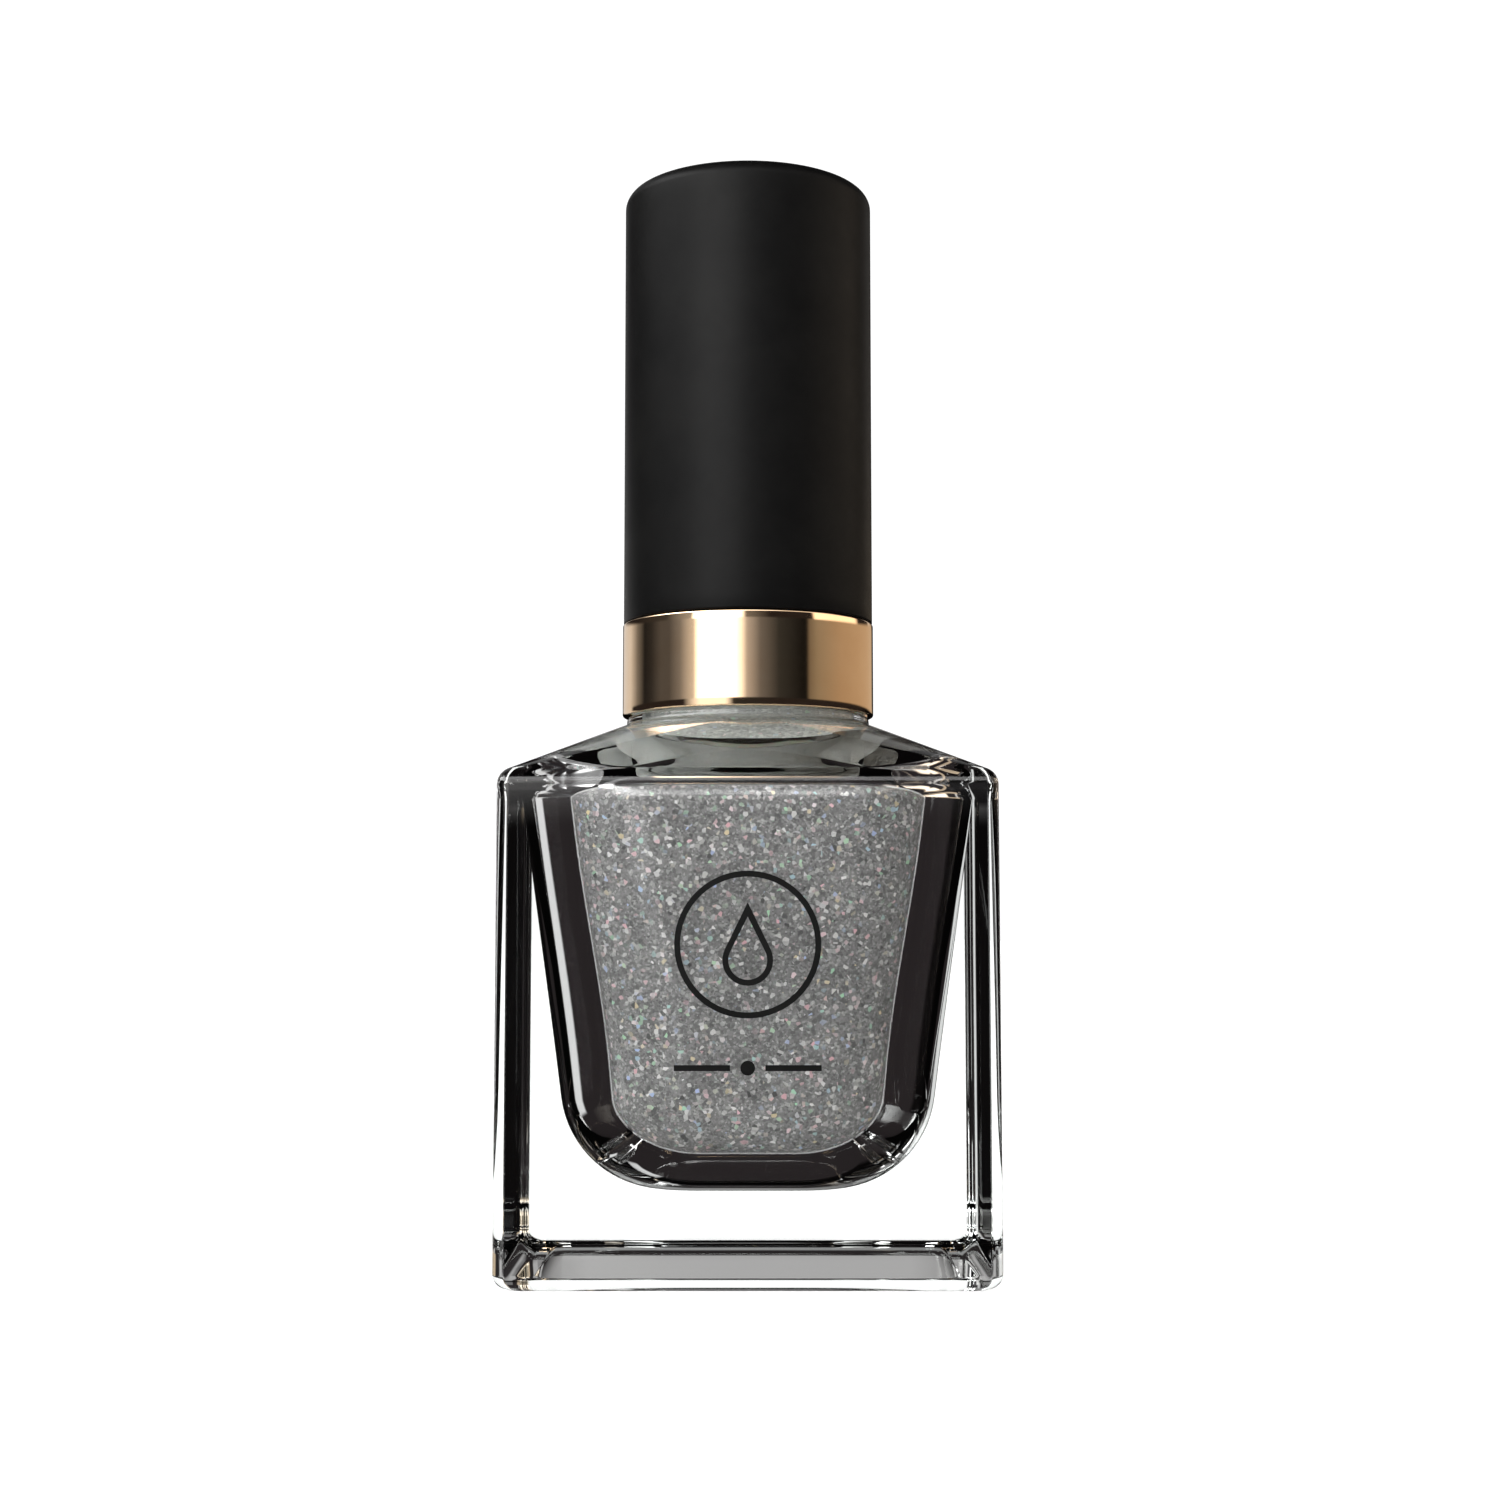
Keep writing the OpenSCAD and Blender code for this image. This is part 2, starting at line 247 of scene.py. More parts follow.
def neck_rings():
    """Collar, stepped neck with its bead and thread, rounded rim."""
    brim_r = 0.3 * MM
    foot_r = 0.4 * MM
    bead_r = 0.45 * MM
    lip_r = 0.5 * MM
    mouth_r = 0.4 * MM
    blend_turns = (0.6, 1.0, 1.3)        # radians
    blend = [(COLLAR_R + COLLAR_FILLET - COLLAR_FILLET * math.sin(a),
              SLOPE_Z + COLLAR_FILLET * (1 - math.cos(a))) for a in blend_turns]
    brim = arc(COLLAR_R - brim_r, COLLAR_Z - brim_r, brim_r, 0, 90, 5)
    step = arc(NECK_R + foot_r, COLLAR_Z + foot_r, foot_r, 270, 180, 5)
    rings = round_rings(blend + brim + [(NECK_R + 1.2 * MM, COLLAR_Z)] + step)
    low = COLLAR_Z + 0.5 * MM
    high = RIM_Z - 0.6 * MM
    count = 84                           # fine enough for the thread
    bead_z = COLLAR_Z + 1.4 * MM
    for k in range(count + 1):
        z = low + (high - low) * k / count
        bead = bead_r * max(0.0, 1 - ((z - bead_z) / bead_r) ** 2) ** 0.5
        ring = []
        for x, y in ring_outline(0, 0, 1, 1):
            r = NECK_R + max(bead, thread_height(math.atan2(y, x) % (2 * math.pi), z, THREAD_Z))
            ring.append((x * r, y * r, z))
        rings.append(ring)
    lip = arc(NECK_R - lip_r, RIM_Z - lip_r, lip_r, 0, 90, 5)
    mouth = arc(BORE_R + mouth_r, RIM_Z - mouth_r, mouth_r, 90, 180, 5)
    return rings + round_rings(lip + mouth)


def cavity_levels(inset=0.0):
    """(half width, corner radius, height) of the cavity from its bottom to the turn into its roof."""
    bottom_steps = 16
    wall_steps = 16
    turn_steps = 9
    low_z = CAVITY_FLOOR + CAVITY_BOTTOM_R * (1 - math.sin(CAVITY_LEAN))
    low_hw = CAVITY_TOP_HW - (TURN_Z - low_z) * math.tan(CAVITY_LEAN)
    low_centre = low_hw - CAVITY_LOW_R
    top_centre = CAVITY_TOP_HW - CAVITY_TOP_R
    levels = []
    for k in range(bottom_steps + 1):
        a = math.radians(90) - (math.radians(90) - CAVITY_LEAN) * k / bottom_steps
        pull = CAVITY_BOTTOM_R * (math.cos(CAVITY_LEAN) - math.cos(a))
        levels.append((low_hw - pull - inset, CAVITY_LOW_R - pull,
                       CAVITY_FLOOR + CAVITY_BOTTOM_R * (1 - math.sin(a)) + inset))
    for k in range(1, wall_steps):
        t = k / wall_steps
        hw = low_hw + (CAVITY_TOP_HW - low_hw) * t
        centre = low_centre + (top_centre - low_centre) * t * t * (3 - 2 * t)
        levels.append((hw - inset, hw - centre, low_z + (TURN_Z - low_z) * t))
    for k in range(turn_steps + 1):
        a = math.radians(CAVITY_TURN * k / turn_steps)
        pull = CAVITY_TURN_R * (1 - math.cos(a))
        levels.append((CAVITY_TOP_HW - pull - inset, CAVITY_TOP_R - pull,
                       TURN_Z + CAVITY_TURN_R * math.sin(a) - inset))
    return levels


def throat_levels(inset=0.0):
    """(radius, height) of the round part, from the roof to the top of the throat."""
    steps = 8
    levels = []
    for k in range(1, steps + 1):
        a = math.radians(90 * k / steps)
        levels.append((DOME_R - (DOME_R - THROAT_R) * math.sin(a) - inset,
                       DOME_Z + (THROAT_Z - DOME_Z) * (1 - math.cos(a))))
    return levels + [(THROAT_R - inset, THROAT_TOP - THROAT_SOFT)]


def roof_rings(inset=0.0, dome_inset=0.0):
    """The cavity's roof, turning from square to round."""
    hw, r, z = cavity_levels(inset)[-1]
    steps = 10
    rings = []
    for k in range(1, steps + 1):
        t = k / steps
        height = z + (DOME_Z - dome_inset - z) * t
        rings.append([(x, y, height) for x, y in ring_outline(hw, r, t, DOME_R - dome_inset)])
    return rings


def build_glass():
    """The bottle as one closed wall: outside, rim, bore, throat and cavity."""
    bore = [(THROAT_R - THROAT_SOFT, THROAT_TOP + THROAT_SOFT),
            (BORE_R, THROAT_TOP + 1 * MM), (BORE_R, RIM_Z - 2 * MM)]
    inside = square_rings(cavity_levels()) + roof_rings() + round_rings(throat_levels() + bore)
    rings = outer_rings() + shoulder_rings() + neck_rings() + inside[::-1]
    return loft("bottle_glass", rings)


def build_lacquer():
    """The lacquer: a film away from the cavity's walls, and wetting the glass of the dome and throat."""
    surface = [(THROAT_R + WETTING - inward * MM, FILL_Z - drop * MM) for inward, drop in MENISCUS]
    rings = square_rings(cavity_levels(FILM)) + roof_rings(FILM, -WETTING)
    return loft("lacquer", rings + round_rings(throat_levels(-WETTING)[:-1] + surface))


# ---------------------------------------------------------------- closure

LIP = 0.12 * MM                          # rounding of thin moulded and pressed edges
SLEEVE_R = 7.2 * MM                      # the inner cap's outside
SLEEVE_BORE = 6.6 * MM                   # its bore, outside its thread
SEAT_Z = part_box("inner_cap")[1].z        # its top
STEM_LO, STEM_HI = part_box("brush_stem")
SEAL_LO, SEAL_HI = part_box("seal_liner")


def build_overcap():
    """Tall round cap, closed at the top, with a rounded crown and a fine lower edge."""
    r, low, top = CAP_HI.x, CAP_LO.z, CAP_HI.z
    crown = 1.0 * MM
    sleeve = SLEEVE_R + 0.02 * MM
    hollow = 6.6 * MM
    hollow_soft = 0.5 * MM
    ceiling = top - 1.8 * MM
    disc = 3 * MM                        # flat middle of the top and of the ceiling
    profile = [(disc, top), (r - 1.6 * crown, top)]
    profile += arc(r - crown, top - crown, crown, 90, 0, 12)
    profile += [(r, top - crown - 1 * MM), (r, low + 1 * MM)]
    profile += arc(r - LIP, low + LIP, LIP, 0, -90, 4)
    profile += arc(sleeve + LIP, low + LIP, LIP, 270, 180, 4)
    profile += [(sleeve, low + 1 * MM), (sleeve, SEAT_Z - 0.2 * MM), (sleeve, SEAT_Z), (hollow, SEAT_Z)]
    profile += [(hollow, SEAT_Z + 0.3 * MM), (hollow, ceiling - 0.6 * MM)]
    profile += arc(hollow - hollow_soft, ceiling - hollow_soft, hollow_soft, 0, 90, 6)
    return turned("cap_shell", profile + [(disc, ceiling)])


def build_ring():
    """Metallised ring with fine rounded edges and a step for the inner cap's foot."""
    r, low, top = RING_HI.x, RING_LO.z, RING_HI.z
    bore = SLEEVE_R + 0.05 * MM
    step_r = 7.65 * MM
    step_z = low + 0.6 * MM
    flat = 0.6 * MM                      # where its flat outside starts, from either edge
    section = arc(step_r + LIP, low + LIP, LIP, 180, 270, 3) + arc(r - LIP, low + LIP, LIP, -90, 0, 4)
    section += [(r, low + flat), (r, top - flat)] + arc(r - LIP, top - LIP, LIP, 0, 90, 4)
    section += [(bore, top), (bore, top - 0.3 * MM), (bore, step_z), (step_r, step_z)]
    return turned_hoop("gold_ring", lambda angle: section)


def build_inner_cap():
    """Threaded sleeve with a lip at its foot and a deck that holds the stem."""
    low = COLLAR_Z + 0.25 * MM
    deck_z = SEAT_Z - 1.2 * MM
    start_z = THREAD_Z - THREAD_PITCH / 2
    hole = 1.95 * MM
    foot_r = 7.6 * MM
    foot_top = low + 0.3 * MM
    top_soft = 0.3 * MM
    plain = 0.4 * MM                     # bore without a thread, at either end
    count = 76                           # fine enough for the thread
    levels = [deck_z - plain - (deck_z - low - 2 * plain) * k / count for k in range(count + 1)]

    def section(angle):
        out = arc(foot_r - LIP, low + LIP, LIP, -90, 0, 3)
        out += [(foot_r, foot_top), (SLEEVE_R, foot_top), (SLEEVE_R, SEAT_Z - 0.5 * MM)]
        out += arc(SLEEVE_R - top_soft, SEAT_Z - top_soft, top_soft, 0, 90, 4)
        out += [(hole, SEAT_Z), (hole, deck_z), (SLEEVE_BORE - 0.3 * MM, deck_z)]
        out += [(SLEEVE_BORE - thread_height(angle, z, start_z), z) for z in levels]
        return out + [(SLEEVE_BORE, low + LIP), (SLEEVE_BORE + LIP, low)]

    return turned_hoop("threaded_sleeve", section)


def build_stem():
    """Tapered stem with a socket in its foot, a sealing flange and a snap head."""
    foot_r = 1.5 * MM
    stem_r = 1.9 * MM
    socket_r = 1.1 * MM
    flange_z = SEAL_HI.z + 0.05 * MM
    flange_r = 5.4 * MM
    flange_top = flange_z + 0.78 * MM
    head_z = SEAT_Z + 0.05 * MM
    foot = STEM_LO.z
    socket_top = foot + 3 * MM
    disc = 0.5 * MM                      # flat middle of the socket's end and of the head
    foot_soft = 0.18 * MM
    fillet = 0.4 * MM                    # under the flange
    groove_r = foot_r - 0.09 * MM
    profile = [(disc, socket_top), (socket_r, socket_top), (socket_r, foot + 0.3 * MM)]
    profile += arc(foot_r - foot_soft, foot + foot_soft, foot_soft, 270, 360, 5)
    profile += [(foot_r, foot + 1.1 * MM)]
    for k in (0, 1):                     # two crimp grooves that grip the bristles
        z = foot + (1.3 + 0.7 * k) * MM
        profile += [(foot_r, z), (groove_r, z + 0.1 * MM), (groove_r, z + 0.2 * MM), (foot_r, z + 0.3 * MM)]
    profile += [(foot_r, foot + 3.4 * MM), (stem_r, flange_z - 3 * MM), (stem_r, flange_z - fillet)]
    profile += arc(stem_r + fillet, flange_z - fillet, fillet, 180, 90, 5)
    profile += arc(flange_r - LIP, flange_z + LIP, LIP, -90, 0, 3)
    profile += arc(flange_r - LIP, flange_top - LIP, LIP, 0, 90, 3)
    profile += [(stem_r, flange_top), (stem_r, head_z), (stem_r + 0.4 * MM, head_z)]
    profile += [(stem_r - 0.5 * MM, STEM_HI.z), (disc, STEM_HI.z)]
    return turned("applicator_stem", profile, 64)


def build_seal():
    """Foam washer with softly rounded edges."""
    r, low, top = SEAL_HI.x, SEAL_LO.z, SEAL_HI.z
    hole = 2.6 * MM
    soft = 0.2 * MM
    section = arc(hole + soft, low + soft, soft, 180, 270, 4) + arc(r - soft, low + soft, soft, -90, 0, 4)
    section += arc(r - soft, top - soft, soft, 0, 90, 4) + arc(hole + soft, top - soft, soft, 90, 180, 4)
    return turned_hoop("foam_washer", lambda angle: section, 96)


def build_ball(name, node):
    """Polished steel ball in the place of its CAD node."""
    low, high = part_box(node)
    centre = (low + high) / 2
    r = (high.z - low.z) / 2
    reach = 87                           # degrees up and down, short of the poles, which are flat discs
    steps = 29
    angles = [math.radians(-reach + 2 * reach * k / steps) for k in range(steps + 1)]
    ball = turned(name, [(r * math.cos(a), centre.z + r * math.sin(a)) for a in angles], 48)
    for vertex in ball.data.vertices:
        vertex.co.x += centre.x
    return ball


# ---------------------------------------------------------------- brush

BRISTLES = 230
BRISTLE_R = 0.062 * MM
GOLDEN_ANGLE = 2.399963                  # radians from one bristle to the next
TUFT_LO, TUFT_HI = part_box("bristle_tuft")


def build_bristles():
    """Separate tapered bristles, gathered in the stem's socket and flared to a flat, rounded fan."""
    sides = 6
    steps = 9
    root_z = TUFT_HI.z - 0.1 * MM
    root_r = 0.98 * MM
    fan_x, fan_y = 0.9 * TUFT_HI.x, 0.85 * TUFT_HI.y
    fan_length = 7.5 * MM
    crown_x, crown_y = 1.5, 0.5          # mm by which the fan's end is rounded
    thinning = 0.55
    thin_start, thin_length = 0.7, 0.3   # parts of a bristle's length
    points = []
    faces = []
    for k in range(BRISTLES):
        share = math.sqrt((k + 0.5) / BRISTLES)
        angle = k * GOLDEN_ANGLE
        u, v = share * math.cos(angle), share * math.sin(angle)
        tip_z = TUFT_LO.z + (crown_x * u * u + crown_y * v * v + random.uniform(0.05, 0.4)) * MM
        bend = random.uniform(0.92, 1.0), random.uniform(0.92, 1.0)
        first = len(points)
        for j in range(steps + 1):
            t = j / steps
            z = root_z + (tip_z - root_z) * t
            flare = max(0.0, min(1.0, (STEM_LO.z - z) / fan_length))
            flare = flare * flare * (3 - 2 * flare)
            x = u * (root_r + (fan_x * bend[0] - root_r) * flare)
            y = v * (root_r + (fan_y * bend[1] - root_r) * flare)
            r = BRISTLE_R * (1 - thinning * max(0.0, t - thin_start) / thin_length)
            for i in range(sides):
                a = 2 * math.pi * i / sides
                points.append((x + r * math.cos(a), y + r * math.sin(a), z))
        for j in range(steps):
            low = first + j * sides
            high = low + sides
            faces += [(low + i, low + (i + 1) % sides, high + (i + 1) % sides, high + i)
                      for i in range(sides)]
        last = first + steps * sides
        faces.append(tuple(range(first, first + sides)))
        faces.append(tuple(range(last, last + sides)))
    return smooth_mesh("bristles", points, faces)


# ---------------------------------------------------------------- material kit

class Shader:
    """A new material with one Principled shader, and short calls that add nodes to it."""

    def __init__(self, name, color, roughness, **sockets):
        self.material = bpy.data.materials.new(name)
        self.material.use_nodes = True
        self.tree = self.material.node_tree
        self.main = self.tree.nodes["Principled BSDF"]
        self.main.inputs["Base Color"].default_value = (*color, 1)
        self.main.inputs["Roughness"].default_value = roughness
        for socket, value in sockets.items():
            self.main.inputs[socket.replace("_", " ")].default_value = value
        self.place = self.add("ShaderNodeTexCoord").outputs["Object"]

    def add(self, kind, **settings):
        node = self.tree.nodes.new(kind)
        for name, value in settings.items():
            setattr(node, name, value)
        return node

    def link(self, source, target):
        self.tree.links.new(source, target)

    def noise(self, scale, detail=3.0, roughness=0.5):
        """Noise from 0 to 1, at this many bumps to the metre."""
        node = self.add("ShaderNodeTexNoise")
        node.inputs["Scale"].default_value = scale
        node.inputs["Detail"].default_value = detail
        node.inputs["Roughness"].default_value = roughness
        self.link(self.place, node.inputs["Vector"])
        return node.outputs["Fac"]

    def cells(self, scale, output="Color"):
        """Cells at this many to the metre: each one's random colour, or the distance to its middle."""
        node = self.add("ShaderNodeTexVoronoi")
        node.inputs["Scale"].default_value = scale
        self.link(self.place, node.inputs["Vector"])
        return node.outputs[output]

    def ramp(self, source, stops):
        """Colour ramp through (position, colour) stops."""
        node = self.add("ShaderNodeValToRGB")
        fill_ramp(node.color_ramp, stops)
        self.link(source, node.inputs["Fac"])
        return node.outputs["Color"]

    def span(self, source, low, high):
        """Source, from 0 to 1, mapped to a range."""
        node = self.add("ShaderNodeMapRange")
        node.inputs["To Min"].default_value = low
        node.inputs["To Max"].default_value = high
        self.link(source, node.inputs["Value"])
        return node.outputs["Result"]

    def rough(self, source, low, high):
        """Roughness that varies with source over a range."""
        self.link(self.span(source, low, high), self.main.inputs["Roughness"])

    def bump(self, source, depth, strength=1.0):
        """Relief from source, this deep in metres."""
        node = self.add("ShaderNodeBump")
        node.inputs["Distance"].default_value = depth
        node.inputs["Strength"].default_value = strength
        self.link(source, node.inputs["Height"])
        self.link(node.outputs["Normal"], self.main.inputs["Normal"])

    def mix(self, share, low, high):
        """Blend of two colours, each a tuple or a socket, by a share that is a number or a socket."""
        node = self.add("ShaderNodeMix", data_type="RGBA")
        if isinstance(share, float):
            node.inputs["Factor"].default_value = share
        else:
            self.link(share, node.inputs["Factor"])
        for name, color in (("A", low), ("B", high)):
            socket = next(i for i in node.inputs if i.name == name and i.type == "RGBA")
            if isinstance(color, tuple):
                socket.default_value = (*color, 1)
            else:
                self.link(color, socket)
        return next(o for o in node.outputs if o.type == "RGBA")

    def color(self, source):
        self.link(source, self.main.inputs["Base Color"])

    def height_mask(self, low, high, waviness, scale):
        """1 below the level low, 0 above high, with a wavy border."""
        split = self.add("ShaderNodeSeparateXYZ")
        self.link(self.place, split.inputs[0])
        wave = self.add("ShaderNodeMath", operation="MULTIPLY_ADD")
        self.link(self.noise(scale), wave.inputs[0])
        wave.inputs[1].default_value = waviness
        self.link(split.outputs["Z"], wave.inputs[2])
        node = self.add("ShaderNodeMapRange", interpolation_type="SMOOTHSTEP")
        self.link(wave.outputs[0], node.inputs["Value"])
        node.inputs["From Min"].default_value = low
        node.inputs["From Max"].default_value = high
        node.inputs["To Min"].default_value = 1
        node.inputs["To Max"].default_value = 0
        return node.outputs["Result"]


def fill_ramp(ramp, stops):
    """Puts (position, colour) stops in a new colour ramp."""
    ramp.elements.remove(ramp.elements[1])
    ramp.elements[0].position = stops[0][0]
    ramp.elements[0].color = (*stops[0][1], 1)
    for position, color in stops[1:]:
        ramp.elements.new(position).color = (*color, 1)


FLAKES = 4300                            # large flakes to the metre
DUST = 8200                              # and fine ones


def glitter(s):
    """Colour, flake mask and facet of a grey lacquer full of fine flakes, some of them bright or tinted."""
    flake = s.add("ShaderNodeSeparateColor")
    s.link(s.cells(FLAKES), flake.inputs["Color"])
    dust = s.add("ShaderNodeSeparateColor")
    s.link(s.cells(DUST), dust.inputs["Color"])
    body = s.ramp(dust.outputs["Red"], [(0.0, (0.10, 0.10, 0.102)), (0.35, (0.21, 0.21, 0.21)),
                                        (0.8, (0.33, 0.33, 0.325)), (1.0, (0.62, 0.62, 0.61))])
    cloud = s.ramp(s.noise(380, 4, 0.6), [(0.3, (0.15, 0.15, 0.152)), (0.7, (0.33, 0.33, 0.326))])
    body = s.mix(0.35, body, cloud)
    tint = s.ramp(flake.outputs["Blue"], [(0.0, (0.09, 0.09, 0.09)), (0.3, (0.16, 0.16, 0.16)),
                                          (0.36, (0.8, 0.8, 0.78)), (0.60, (1, 1, 1)),
                                          (0.72, (0.9, 0.56, 0.62)), (0.82, (0.52, 0.86, 0.60)),
                                          (0.90, (0.55, 0.66, 0.95)), (1.0, (0.95, 0.80, 0.45))])
    mask = s.add("ShaderNodeMapRange")
    s.link(flake.outputs["Green"], mask.inputs["Value"])
    mask.inputs["From Min"].default_value = 0.66
    mask.inputs["From Max"].default_value = 1.0
    return s.mix(mask.outputs["Result"], body, tint), mask.outputs["Result"], flake.outputs["Red"]


def glass_material():
    """Clear soda glass with the faint waviness that moulding leaves and a slight green in its depth."""
    s = Shader("clear_glass", (1, 1, 1), 0.0, IOR=1.52, Transmission_Weight=1.0)
    s.rough(s.noise(90, 2), 0.0, 0.006)
    s.bump(s.noise(140, 2, 0.4), 0.012 * MM, 0.25)
    depth = s.add("ShaderNodeVolumeAbsorption")
    depth.inputs["Color"].default_value = (0.82, 0.98, 0.88, 1)
    depth.inputs["Density"].default_value = 4
    s.link(depth.outputs[0], s.tree.nodes["Material Output"].inputs["Volume"])
    return s.material


def lacquer_material():
    """Grey glitter lacquer, with a painted highlight: painted paler and greenish above the top of the sides,
    in the shoulder and neck.
    """
    s = Shader("glitter_lacquer", (0.3, 0.3, 0.3), 0.45)
    color, mask, facet = glitter(s)
    body_part = s.height_mask(SIDE_Z - 0.6 * MM, SIDE_Z + 1.0 * MM, 0.4 * MM, 300)
    # Above the top of the sides the lacquer is painted pale and greenish: a painted highlight for the light
    # that falls on it in the shoulder and neck.
    dome_painted_highlight = s.mix(s.span(facet, 0.35, 0.75), color, (0.90, 0.94, 0.88))
    s.color(s.mix(body_part, dome_painted_highlight, color))
    s.link(s.span(mask, 0.0, 0.35), s.main.inputs["Metallic"])
    s.rough(facet, 0.3, 0.6)
    s.bump(facet, 0.03 * MM, 0.8)
    return s.material


def cap_material():
    """Matte black moulded plastic with a fine satin grain."""
    s = Shader("matte_black", (0.008, 0.008, 0.008), 0.4, Specular_IOR_Level=0.08)
    s.color(s.ramp(s.noise(260, 5, 0.6), [(0.3, (0.0022, 0.0022, 0.0023)), (0.7, (0.0042, 0.0041, 0.004))]))
    s.rough(s.noise(700, 5, 0.65), 0.34, 0.46)
    s.bump(s.noise(9000, 4, 0.7), 0.006 * MM, 0.55)
    return s.material


def gold_material():
    """Vacuum-metallised gold with faint polishing marks round it."""
    s = Shader("metallised_gold", (0.92, 0.66, 0.43), 0.1, Metallic=1.0)
    stretch = s.add("ShaderNodeMapping")
    stretch.inputs["Scale"].default_value = (60, 60, 9000)
    s.link(s.place, stretch.inputs["Vector"])
    marks = s.add("ShaderNodeTexNoise")
    marks.inputs["Scale"].default_value = 1
    marks.inputs["Detail"].default_value = 4
    s.link(stretch.outputs[0], marks.inputs["Vector"])
    s.color(s.ramp(s.noise(500, 4), [(0.3, (0.9, 0.64, 0.405)), (0.7, (0.94, 0.69, 0.455))]))
    s.rough(marks.outputs["Fac"], 0.04, 0.09)
    s.bump(marks.outputs["Fac"], 0.002 * MM, 0.25)
    return s.material


def ink_material():
    """Screen-printed black ink, a little uneven in gloss."""
    s = Shader("black_ink", (0.003, 0.003, 0.003), 0.35, Specular_IOR_Level=0.15)
    s.rough(s.noise(3000, 4), 0.25, 0.45)
    s.bump(s.noise(7000, 4, 0.6), 0.008 * MM, 0.5)
    return s.material


def ivory_material():
    """Natural polypropylene, slightly translucent."""
    s = Shader("ivory_plastic", (0.78, 0.74, 0.64), 0.38, Subsurface_Weight=0.25, Subsurface_Scale=0.0008)
    s.color(s.ramp(s.noise(300, 4), [(0.3, (0.74, 0.7, 0.6)), (0.7, (0.82, 0.78, 0.68))]))
    s.rough(s.noise(1500, 4), 0.3, 0.46)
    s.bump(s.noise(4000, 4, 0.6), 0.008 * MM, 0.5)
    return s.material


def stem_material():
    """White plastic with a film of lacquer where the stem stands in the bottle."""
    s = Shader("white_plastic", (0.85, 0.85, 0.84), 0.3)
    clean = s.ramp(s.noise(300, 4), [(0.3, (0.82, 0.82, 0.8)), (0.7, (0.88, 0.88, 0.87))])
    coat = s.height_mask(FILL_Z - 5.5 * MM, FILL_Z - 3.2 * MM, 2.5 * MM, 260)
    s.color(s.mix(coat, clean, glitter(s)[0]))
    s.rough(s.noise(1500, 4), 0.22, 0.36)
    s.bump(s.noise(2500, 4, 0.6), 0.01 * MM, 0.5)
    return s.material


def bristle_material():
    """Black nylon bristles, wet with lacquer over their lower part."""
    s = Shader("nylon_bristles", (0.02, 0.02, 0.02), 0.3)
    dry = s.ramp(s.noise(2500, 3), [(0.3, (0.012, 0.012, 0.013)), (0.7, (0.035, 0.034, 0.033))])
    coat = s.height_mask(TUFT_LO.z + 5.5 * MM, TUFT_LO.z + 10 * MM, 3 * MM, 500)
    s.color(s.mix(coat, dry, glitter(s)[0]))
    s.rough(s.noise(3000, 3), 0.2, 0.36)
    s.bump(s.noise(8000, 3), 0.006 * MM, 0.5)
    return s.material


def foam_material():
    """White closed-cell foam, with painted shade in its pores."""
    s = Shader("foam", (0.84, 0.84, 0.82), 0.7)
    pores = s.cells(5200, "Distance")
    # The pits of the pores are painted darker: painted shade in them.
    s.color(s.ramp(pores, [(0.0, (0.68, 0.68, 0.66)), (0.5, (0.88, 0.88, 0.86))]))
    s.rough(s.noise(900, 4), 0.6, 0.82)
    s.bump(pores, 0.03 * MM, 0.7)
    return s.material


def steel_material():
    """Polished steel with a fine haze."""
    s = Shader("steel", (0.66, 0.66, 0.67), 0.14, Metallic=1.0)
    s.color(s.ramp(s.noise(900, 4), [(0.3, (0.6, 0.6, 0.61)), (0.7, (0.72, 0.72, 0.73))]))
    s.rough(s.noise(1800, 4), 0.08, 0.22)
    s.bump(s.noise(5000, 4), 0.003 * MM, 0.4)
    return s.material


# ---------------------------------------------------------------- studio

# Light round the object by band of height: (degrees from the front, positive to the right, colour)
SOFTBOX = (7.5, 7.4, 7.3)
SOFTBOX_FOOT = (3.2, 3.15, 3.1)
DARK = (0.020, 0.0165, 0.0172)           # the unlit studio
BLACK = (0.002, 0.0016, 0.0017)          # its darkest part, behind at table level
LOW_LIGHT = [                            # table level: dark, with one gap behind and one in front, both left
    (-180, BLACK), (-160, BLACK), (-156, (0.75, 0.75, 0.75)), (-134, (0.75, 0.75, 0.75)), (-129, DARK),
    (-60, DARK), (-44, (1.5, 1.5, 1.5)), (-20, (1.5, 1.5, 1.5)), (-13, (0.03, 0.03, 0.03)), (30, DARK),
    (126, DARK), (136, BLACK), (180, BLACK),
]
ROUND_LIGHT = [                          # eye level: the softbox's foot, and warm boards on the right
    (-180, (0.42, 0.41, 0.41)), (-174.8, (0.42, 0.41, 0.41)), (-173.6, DARK), (-167, DARK),
    (-160, (0.74, 0.73, 0.72)), (-136, (0.72, 0.71, 0.70)), (-121, (0.2, 0.2, 0.2)),
    (-109, (0.014, 0.014, 0.015)), (-98, (0.03, 0.03, 0.032)), (-86, (0.085, 0.085, 0.09)),
    (-76, (0.085, 0.085, 0.09)), (-64, (0.22, 0.22, 0.23)), (-50, (0.72, 0.70, 0.68)),
    (-44, SOFTBOX_FOOT), (-14, SOFTBOX_FOOT), (-1, (0.52, 0.51, 0.52)),
    (11, (0.16, 0.16, 0.17)), (28, (0.035, 0.038, 0.04)), (50, (0.008, 0.008, 0.008)),
    (54.5, (0.008, 0.008, 0.008)), (58, (0.2, 0.17, 0.13)), (66, (0.29, 0.25, 0.19)),
    (94, (0.44, 0.34, 0.24)), (156, (0.60, 0.47, 0.33)), (162, DARK), (173.6, DARK),
    (174.8, (0.42, 0.41, 0.41)), (180, (0.42, 0.41, 0.41)),
]
